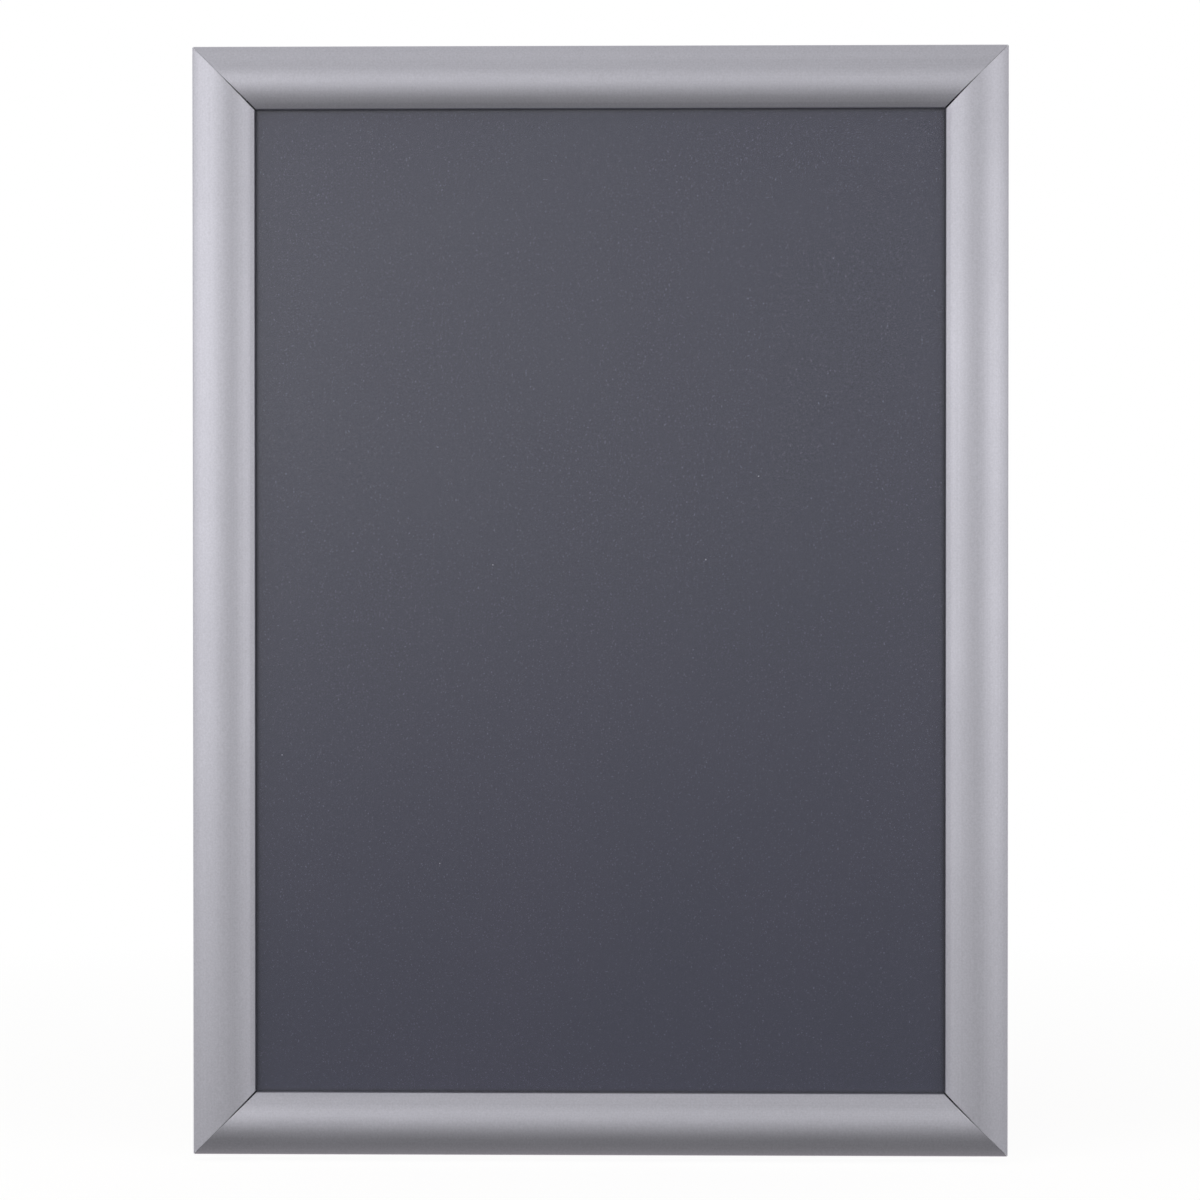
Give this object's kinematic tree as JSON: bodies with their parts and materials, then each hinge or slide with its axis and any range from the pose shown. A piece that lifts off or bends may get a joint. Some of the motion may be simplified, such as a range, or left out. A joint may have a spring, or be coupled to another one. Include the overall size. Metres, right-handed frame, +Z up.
{
  "type": "snap poster frame",
  "caption": "Wall poster frame with mitred rounded aluminium rails that flip open on hinges and snap shut on a matt cover sheet over a dark back panel.",
  "frame": {"origin": "middle of the frame on the wall plane, the plane of the base rails' back faces", "axes": "+Z up along the long side, +Y from the frame into the wall, +X to the right seen from the front"},
  "size_m": [0.341, 0.0111, 0.464],
  "materials": {
    "anodised_aluminium": "matt silver anodised",
    "spring_steel": "rolled strip",
    "plated_steel": "zinc plated",
    "panel_plastic": "matt dark grey",
    "cover_plastic": "matt anti-glare, clear"
  },
  "bodies": {
    "frame": {"base_rail_top": "anodised_aluminium", "base_rail_bottom": "anodised_aluminium", "base_rail_left": "anodised_aluminium", "base_rail_right": "anodised_aluminium", "corner_key_top_left": "plated_steel", "corner_key_top_right": "plated_steel", "corner_key_bottom_left": "plated_steel", "corner_key_bottom_right": "plated_steel", "back_panel": "panel_plastic", "cover_sheet": "cover_plastic"},
    "top_rail": {"cover_rail_top": "anodised_aluminium"},
    "bottom_rail": {"cover_rail_bottom": "anodised_aluminium"},
    "left_rail": {"cover_rail_left": "anodised_aluminium"},
    "right_rail": {"cover_rail_right": "anodised_aluminium"},
    "top_springs": {"spring_top_1": "spring_steel", "spring_top_2": "spring_steel"},
    "bottom_springs": {"spring_bottom_1": "spring_steel", "spring_bottom_2": "spring_steel"},
    "left_springs": {"spring_left_1": "spring_steel", "spring_left_2": "spring_steel"},
    "right_springs": {"spring_right_1": "spring_steel", "spring_right_2": "spring_steel"}
  },
  "joints": [
    {"name": "top_rail_hinge", "type": "hinge", "parent": "frame", "child": "top_rail", "pos_m": [0, -0.0047, 0.2296], "axis": [-1, 0, 0], "range_deg": [0, 80], "deforming": ["spring_top_1", "spring_top_2"]},
    {"name": "bottom_rail_hinge", "type": "hinge", "parent": "frame", "child": "bottom_rail", "pos_m": [0, -0.0047, -0.2296], "axis": [1, 0, 0], "range_deg": [0, 80], "deforming": ["spring_bottom_1", "spring_bottom_2"]},
    {"name": "left_rail_hinge", "type": "hinge", "parent": "frame", "child": "left_rail", "pos_m": [-0.1681, -0.0047, 0], "axis": [0, 0, -1], "range_deg": [0, 80], "deforming": ["spring_left_1", "spring_left_2"]},
    {"name": "right_rail_hinge", "type": "hinge", "parent": "frame", "child": "right_rail", "pos_m": [0.1681, -0.0047, 0], "axis": [0, 0, 1], "range_deg": [0, 80], "deforming": ["spring_right_1", "spring_right_2"]},
    {"name": "top_spring_swing", "type": "hinge", "parent": "frame", "child": "top_springs", "pos_m": [0, -0.00295, 0.22016], "axis": [1, 0, 0], "range_deg": [0, 27.8]},
    {"name": "bottom_spring_swing", "type": "hinge", "parent": "frame", "child": "bottom_springs", "pos_m": [0, -0.00295, -0.22016], "axis": [-1, 0, 0], "range_deg": [0, 27.8]},
    {"name": "left_spring_swing", "type": "hinge", "parent": "frame", "child": "left_springs", "pos_m": [-0.15866, -0.00295, 0], "axis": [0, 0, 1], "range_deg": [0, 27.8]},
    {"name": "right_spring_swing", "type": "hinge", "parent": "frame", "child": "right_springs", "pos_m": [0.15866, -0.00295, 0], "axis": [0, 0, -1], "range_deg": [0, 27.8]}
  ],
  "couplings": [
    {"joint": "top_spring_swing", "follows": "top_rail_hinge", "ratio": 0.34686},
    {"joint": "bottom_spring_swing", "follows": "bottom_rail_hinge", "ratio": 0.34686},
    {"joint": "left_spring_swing", "follows": "left_rail_hinge", "ratio": 0.34686},
    {"joint": "right_spring_swing", "follows": "right_rail_hinge", "ratio": 0.34686}
  ]
}
